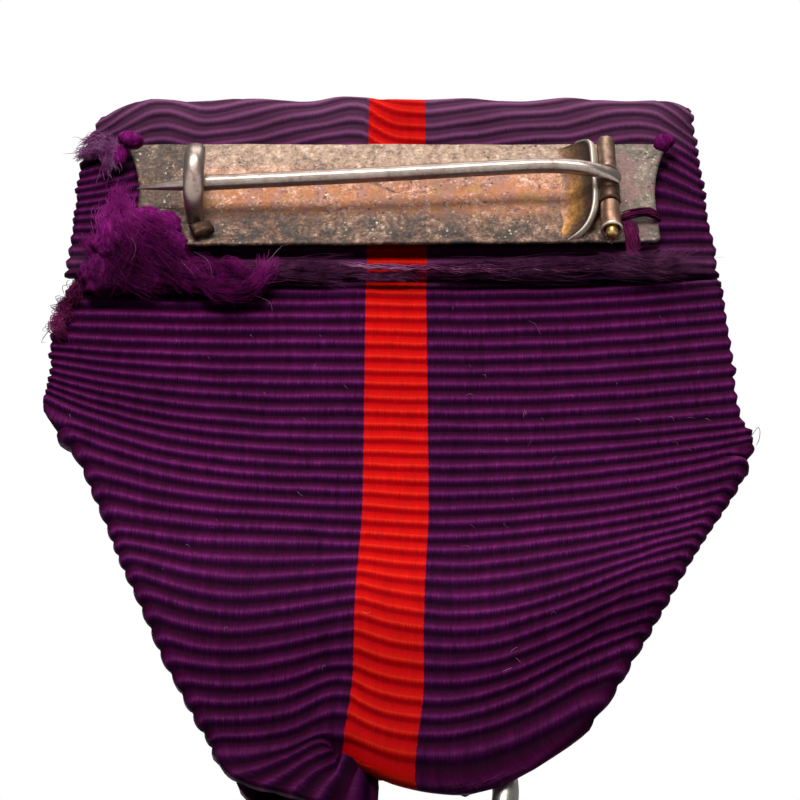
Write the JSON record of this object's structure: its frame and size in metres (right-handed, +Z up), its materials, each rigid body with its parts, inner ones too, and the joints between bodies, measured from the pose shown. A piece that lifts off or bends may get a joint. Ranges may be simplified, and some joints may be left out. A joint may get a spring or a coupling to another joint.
{
  "type": "medal with ribbon and brooch pin",
  "caption": "Round silver medal hung by a ring from a folded ribbed ribbon, with a hinged brooch pin and hook catch on a plate behind it.",
  "frame": {"origin": "middle of the brooch plate's rear face", "axes": "+X to the right as seen from the rear, +Y towards the medal's front, +Z up; the medal hangs as worn"},
  "size_m": [0.0386, 0.0069, 0.0948],
  "materials": {
    "tarnished_silver": "tarnished, mottled",
    "pin_steel": "polished wire, lightly tarnished",
    "bright_silver": "polished, lightly tarnished in the recesses",
    "brass": "dull",
    "ribbon_silk": "ribbed silk with a scarlet centre stripe",
    "silk_yarn": "loose silk yarn"
  },
  "bodies": {
    "brooch": {"brooch_plate": "tarnished_silver", "hinge_stop": "tarnished_silver", "hinge_knuckle_upper": "tarnished_silver", "hinge_knuckle_lower": "tarnished_silver", "hinge_axle": "brass", "catch_hook": "tarnished_silver", "catch_base": "tarnished_silver", "ribbon_front": "ribbon_silk", "ribbon_back": "ribbon_silk", "ribbon_fold_left": "ribbon_silk", "ribbon_fold_right": "ribbon_silk", "ribbon_loop": "ribbon_silk", "seam_thread": "silk_yarn", "corner_tie": "silk_yarn", "frayed_yarn_end": "silk_yarn", "frayed_yarn_foot": "silk_yarn"},
    "pin": {"pin_wire": "pin_steel", "pin_knuckle": "pin_steel"},
    "ring": {"suspension_ring": "bright_silver"},
    "pendant": {"suspension_eye": "bright_silver", "suspension_neck": "bright_silver", "medal_disc": "bright_silver", "obverse_wreath": "bright_silver", "obverse_star": "bright_silver", "medallion_collar": "bright_silver", "obverse_medallion": "bright_silver", "reverse_medallion": "bright_silver"}
  },
  "joints": [
    {"name": "pin_hinge", "type": "hinge", "parent": "brooch", "child": "pin", "pos_m": [0.01225, -0.00095, -0.0006], "axis": [0, 0, 1], "range_deg": [0, 105], "deforming": ["pin_wire"]},
    {"name": "ring_swing", "type": "hinge", "parent": "brooch", "child": "ring", "pos_m": [0.0006, 0.00115, -0.03545], "axis": [1, 0, 0], "range_deg": [-45, 45], "deforming": ["ribbon_loop"]},
    {"name": "pendant_swing", "type": "hinge", "parent": "ring", "child": "pendant", "pos_m": [0.0006, 0.00115, -0.04455], "axis": [1, 0, 0], "range_deg": [-90, 90]}
  ]
}
